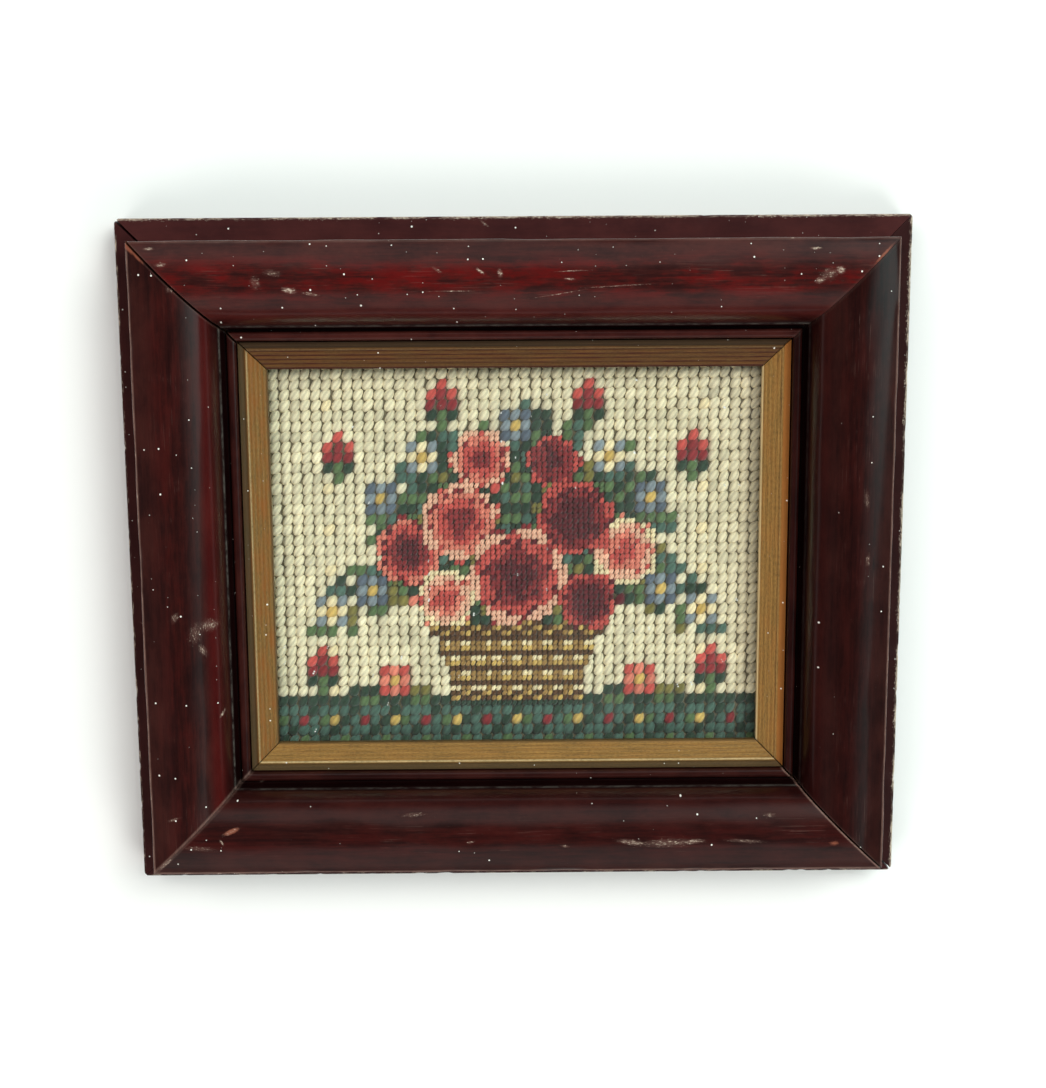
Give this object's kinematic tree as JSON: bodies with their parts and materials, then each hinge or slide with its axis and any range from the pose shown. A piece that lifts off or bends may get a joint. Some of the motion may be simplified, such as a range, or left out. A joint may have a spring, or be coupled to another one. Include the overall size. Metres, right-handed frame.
{
  "type": "framed needlepoint picture",
  "caption": "Small landscape-format needlepoint picture under glass in a mahogany-stained moulded wood frame with a reeded gilt slip, lying on its back.",
  "frame": {"origin": "on the flat back plane, under the middle of the frame", "axes": "+X to the picture's right, +Y to its top, +Z out of its face"},
  "size_m": [0.189, 0.163, 0.0249],
  "materials": {
    "stained_wood": "dark mahogany stain under a soft gloss varnish, scuffed, with pale chips at the arrises",
    "gilt": "rubbed gold paint on fine reeds, darker in the hollows",
    "picture_glass": "clear picture glass, slightly hazy with dust",
    "wool_stitches": "matt wool tent stitches in muted colours on canvas",
    "hardboard": "plain brown backing board",
    "steel_point": "dull steel"
  },
  "bodies": {
    "root": {"rail_bottom": "stained_wood", "rail_right": "stained_wood", "rail_top": "stained_wood", "rail_left": "stained_wood", "slip_bottom": "gilt", "slip_right": "gilt", "slip_top": "gilt", "slip_left": "gilt", "glass": "picture_glass", "needlepoint": "wool_stitches", "backing_board": "hardboard", "point_bottom_1": "steel_point", "point_bottom_2": "steel_point", "point_right_1": "steel_point", "point_right_2": "steel_point", "point_top_1": "steel_point", "point_top_2": "steel_point", "point_left_1": "steel_point", "point_left_2": "steel_point"}
  },
  "joints": []
}
